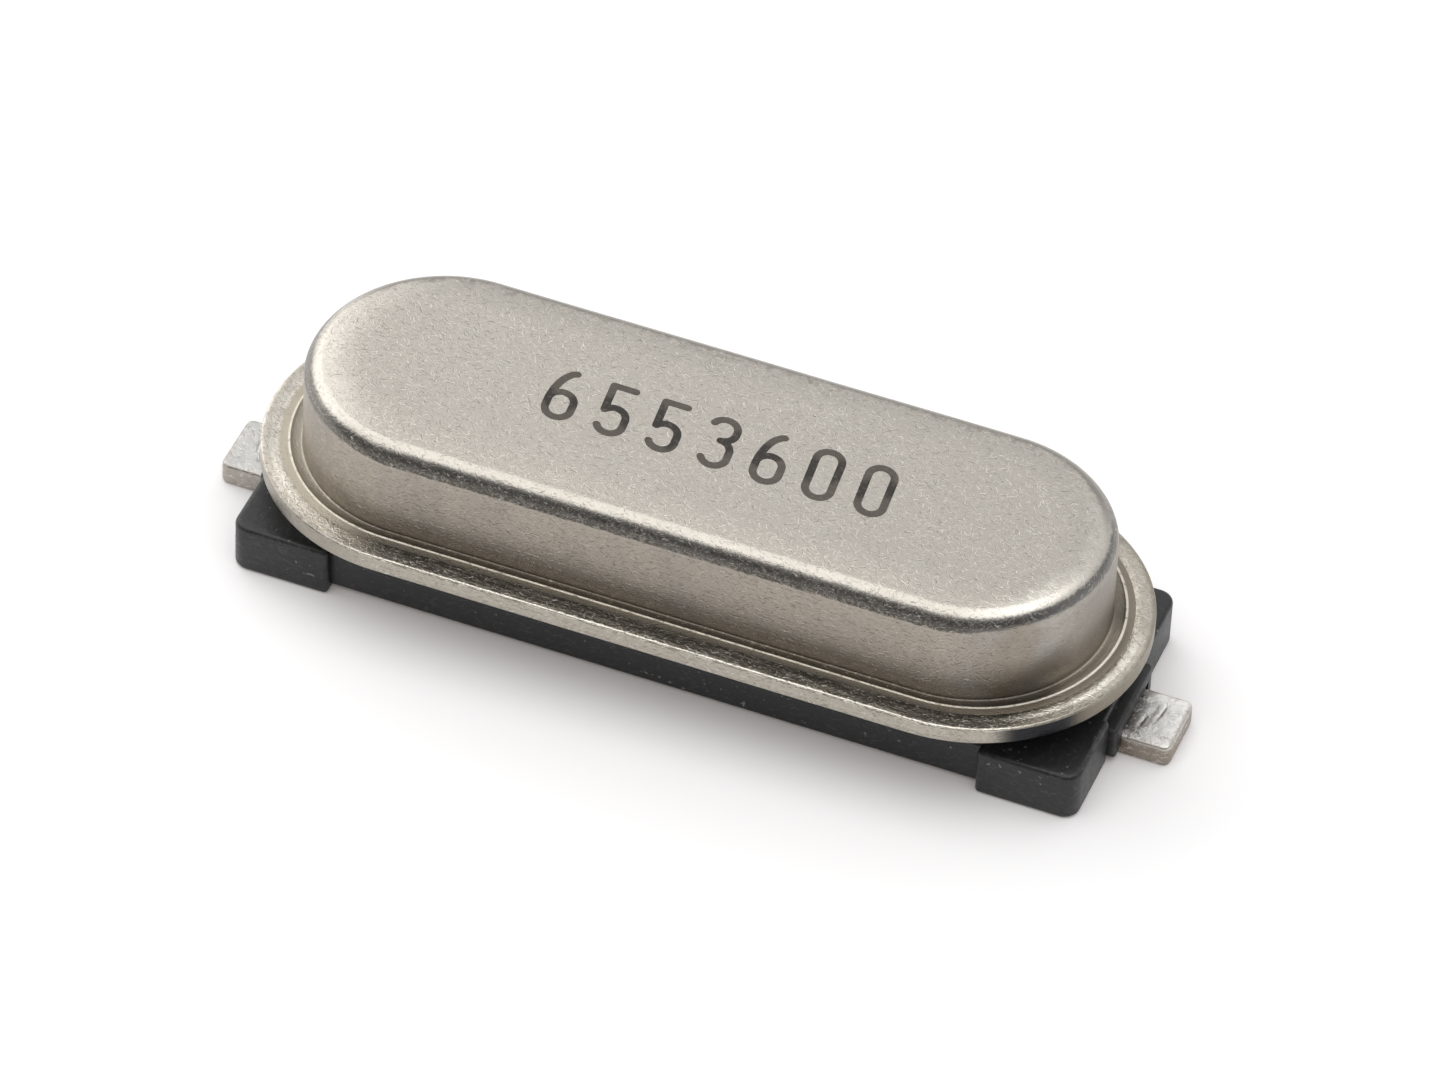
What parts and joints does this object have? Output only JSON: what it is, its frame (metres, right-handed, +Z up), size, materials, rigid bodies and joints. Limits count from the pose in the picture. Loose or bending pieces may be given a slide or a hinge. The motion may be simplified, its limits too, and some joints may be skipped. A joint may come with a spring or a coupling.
{
  "type": "quartz crystal unit",
  "caption": "Obround drawn-metal can welded to a rimmed header on a black moulded surface-mount base, with a flat solder lead at each end and a quartz blank sealed inside.",
  "frame": {"origin": "centre of the seating plane, under the middle of the base", "axes": "+X along the length from lead to lead, +Z up out of the board, Y across"},
  "size_m": [0.012, 0.0044, 0.0026],
  "materials": {
    "can_nickel": "satin nickel, drawn and tumbled",
    "header_nickel": "satin nickel, slightly warm",
    "seal_glass": "fused sealing glass",
    "lead_tinned": "dull tin plating with worn edges",
    "clip_metal": "satin spring metal",
    "quartz": "fine-lapped clear quartz",
    "electrode_silver": "evaporated silver",
    "silver_adhesive": "silver-filled adhesive",
    "base_black": "satin black moulding"
  },
  "bodies": {
    "root": {"can": "can_nickel", "header_plate": "header_nickel", "glass_seal_left": "seal_glass", "glass_seal_right": "seal_glass", "lead_left": "lead_tinned", "lead_right": "lead_tinned", "mounting_clip_left": "clip_metal", "mounting_clip_right": "clip_metal", "quartz_blank": "quartz", "electrode_upper": "electrode_silver", "electrode_lower": "electrode_silver", "adhesive_left": "silver_adhesive", "adhesive_right": "silver_adhesive", "base_moulding": "base_black"}
  },
  "joints": []
}
